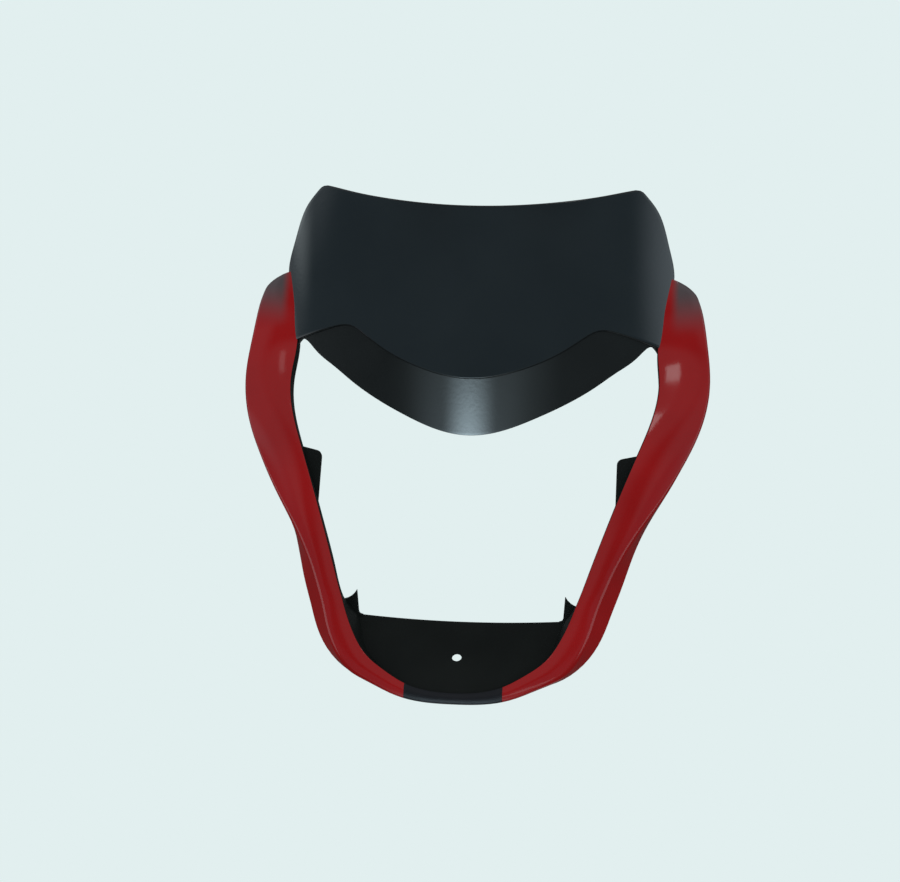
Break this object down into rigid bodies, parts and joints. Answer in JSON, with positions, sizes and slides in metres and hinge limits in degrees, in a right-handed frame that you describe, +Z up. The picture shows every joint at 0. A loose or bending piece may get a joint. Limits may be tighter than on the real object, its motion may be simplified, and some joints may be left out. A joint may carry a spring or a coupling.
{
  "type": "motorbike headlight cowl",
  "caption": "Moulded headlight cowl with a curved dark visor over a V-shaped beak, red side arms around the open lamp space, and a sloping chin tray.",
  "frame": {"origin": "centre of the screw hole in the chin tray, on the tray's upper face", "axes": "+Z up, -Y to the front of the bike, X across it"},
  "size_m": [0.3318, 0.1956, 0.3187],
  "materials": {
    "painted_shell": "gloss paint, black visor and beak, red arms, bare black inside"
  },
  "bodies": {
    "root": {"headlight_cowl": "painted_shell"}
  },
  "joints": []
}
